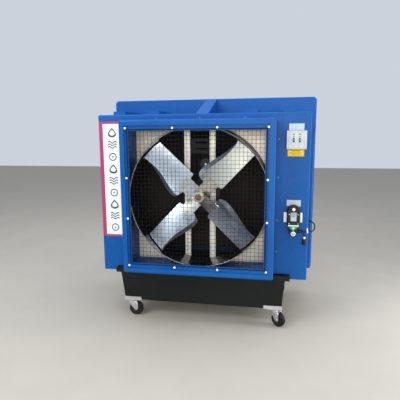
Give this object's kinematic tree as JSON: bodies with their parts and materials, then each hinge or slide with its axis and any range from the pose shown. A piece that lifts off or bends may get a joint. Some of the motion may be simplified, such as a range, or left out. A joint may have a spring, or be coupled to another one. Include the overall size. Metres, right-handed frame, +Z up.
{
  "type": "evaporative cooler",
  "caption": "Wheeled evaporative cooler: a belt-driven fan behind a wire grille in a moulded housing with wet pads behind it, on a water tank.",
  "frame": {"origin": "on the floor, under the middle of the machine's bounding box", "axes": "+Z up, the air leaves towards -Y, +X to the right of someone who faces the outlet"},
  "size_m": [1.59, 0.885, 1.588],
  "materials": {
    "blue_shell": "satin",
    "tank_black": "satin",
    "galvanised": "satin",
    "grille_black": "satin",
    "white_nylon": "satin",
    "zinc_screws": "satin",
    "blade_alloy": "satin",
    "shaft_steel": "satin",
    "pulley_iron": "matte",
    "belt_rubber": "matte",
    "bracket_steel": "satin",
    "motor_paint": "satin",
    "pad_paper": "matte",
    "pvc_white": "satin",
    "pump_black": "satin",
    "brass_fitting": "satin",
    "float_orange": "satin",
    "caster_zinc": "satin",
    "caster_tread": "matte",
    "box_grey": "satin",
    "switch_cover": "satin",
    "toggle_black": "satin",
    "label_white": "satin",
    "label_yellow": "satin",
    "banner_print": "satin",
    "breaker_black": "satin",
    "breaker_green": "satin",
    "button_white": "satin",
    "cable_black": "matte"
  },
  "bodies": {
    "cabinet": {"fan_shroud": "blue_shell", "main_housing": "blue_shell", "rear_housing": "blue_shell", "grille_frame": "grille_black", "grille_wires": "grille_black", "grille_bolts": "white_nylon", "housing_screws": "zinc_screws", "tank": "tank_black", "hose_inlet": "brass_fitting", "float_valve": "brass_fitting", "drain_plug": "pump_black", "orifice_panel": "galvanised", "venturi_ring": "galvanised", "panel_rivets": "zinc_screws", "struts": "galvanised", "drive_belt": "belt_rubber", "bearing_bracket": "bracket_steel", "shaft_bearings": "pulley_iron", "motor_body": "motor_paint", "motor_bracket": "bracket_steel", "cooling_pads": "pad_paper", "pad_retainers": "galvanised", "distribution_pipe": "pvc_white", "riser_pipe": "pvc_white", "pump_body": "pump_black", "caster_plates": "caster_zinc", "switch_box": "box_grey", "switch_cover": "switch_cover", "white_labels": "label_white", "caution_label": "label_yellow", "banner": "banner_print", "breaker_plate": "label_white", "breaker_head": "breaker_black", "breaker_collar": "breaker_green", "breaker_ring": "box_grey", "lead_glands": "cable_black", "supply_lead": "cable_black", "plug_lead": "cable_black", "supply_plug": "cable_black", "lead_clips": "white_nylon"},
    "fan_rotor": {"fan_blades": "blade_alloy", "fan_hub": "blade_alloy", "blade_rivets": "zinc_screws", "fan_shaft": "shaft_steel", "fan_pulley": "pulley_iron"},
    "motor_rotor": {"motor_shaft": "shaft_steel", "motor_pulley": "pulley_iron"},
    "pump_rotor": {"pump_impeller": "pump_black"},
    "float": {"float_arm": "float_orange"},
    "fan_switch": {"fan_toggle": "toggle_black"},
    "pump_switch": {"pump_toggle": "toggle_black"},
    "reset": {"reset_button": "button_white"},
    "fork_front_left": {"caster_fork_front_left": "caster_zinc"},
    "wheel_front_left": {"caster_wheel_front_left": "caster_tread"},
    "fork_front_right": {"caster_fork_front_right": "caster_zinc"},
    "wheel_front_right": {"caster_wheel_front_right": "caster_tread"},
    "fork_rear_left": {"caster_fork_rear_left": "caster_zinc"},
    "wheel_rear_left": {"caster_wheel_rear_left": "caster_tread"},
    "fork_rear_right": {"caster_fork_rear_right": "caster_zinc"},
    "wheel_rear_right": {"caster_wheel_rear_right": "caster_tread"}
  },
  "joints": [
    {"name": "fan_spin", "type": "hinge", "parent": "cabinet", "child": "fan_rotor", "pos_m": [0, -0.3005, 0.8985], "axis": [0, 1, 0], "continuous": true},
    {"name": "motor_spin", "type": "hinge", "parent": "cabinet", "child": "motor_rotor", "pos_m": [0, -0.0175, 1.0995], "axis": [0, 1, 0], "continuous": true},
    {"name": "pump_spin", "type": "hinge", "parent": "cabinet", "child": "pump_rotor", "pos_m": [0, 0.2295, 0.139], "axis": [0, 0, 1], "continuous": true},
    {"name": "float_swing", "type": "hinge", "parent": "cabinet", "child": "float", "pos_m": [-0.5327, 0.0575, 0.29342], "axis": [0, -1, 0], "range_deg": [0, 38]},
    {"name": "fan_switch_tilt", "type": "hinge", "parent": "cabinet", "child": "fan_switch", "pos_m": [0.6095, -0.2805, 1.2735], "axis": [1, 0, 0], "range_deg": [-15, 15]},
    {"name": "pump_switch_tilt", "type": "hinge", "parent": "cabinet", "child": "pump_switch", "pos_m": [0.6465, -0.2805, 1.2735], "axis": [1, 0, 0], "range_deg": [-15, 15]},
    {"name": "reset_press", "type": "slide", "parent": "cabinet", "child": "reset", "axis": [0, 1, 0], "range_m": [0, 0.004], "stiffness_N_per_m": 200},
    {"name": "swivel_front_left", "type": "hinge", "parent": "cabinet", "child": "fork_front_left", "pos_m": [-0.518, -0.2375, 0.11], "axis": [0, 0, 1], "continuous": true},
    {"name": "roll_front_left", "type": "hinge", "parent": "fork_front_left", "child": "wheel_front_left", "pos_m": [-0.48708, -0.23534, 0.0505], "axis": [-0.0698, 0.9976, 0], "continuous": true},
    {"name": "swivel_front_right", "type": "hinge", "parent": "cabinet", "child": "fork_front_right", "pos_m": [0.518, -0.2375, 0.11], "axis": [0, 0, 1], "continuous": true},
    {"name": "roll_front_right", "type": "hinge", "parent": "fork_front_right", "child": "wheel_front_right", "pos_m": [0.54243, -0.25659, 0.0505], "axis": [0.6157, 0.788, 0], "continuous": true},
    {"name": "swivel_rear_left", "type": "hinge", "parent": "cabinet", "child": "fork_rear_left", "pos_m": [-0.518, 0.3525, 0.11], "axis": [0, 0, 1], "continuous": true},
    {"name": "roll_rear_left", "type": "hinge", "parent": "fork_rear_left", "child": "wheel_rear_left", "pos_m": [-0.48887, 0.3631, 0.0505], "axis": [-0.342, 0.9397, 0], "continuous": true},
    {"name": "swivel_rear_right", "type": "hinge", "parent": "cabinet", "child": "fork_rear_right", "pos_m": [0.518, 0.3525, 0.11], "axis": [0, 0, 1], "continuous": true},
    {"name": "roll_rear_right", "type": "hinge", "parent": "fork_rear_right", "child": "wheel_rear_right", "pos_m": [0.54808, 0.345, 0.0505], "axis": [0.2419, 0.9703, 0], "continuous": true}
  ],
  "couplings": [
    {"joint": "motor_spin", "follows": "fan_spin", "ratio": 2.8571}
  ]
}
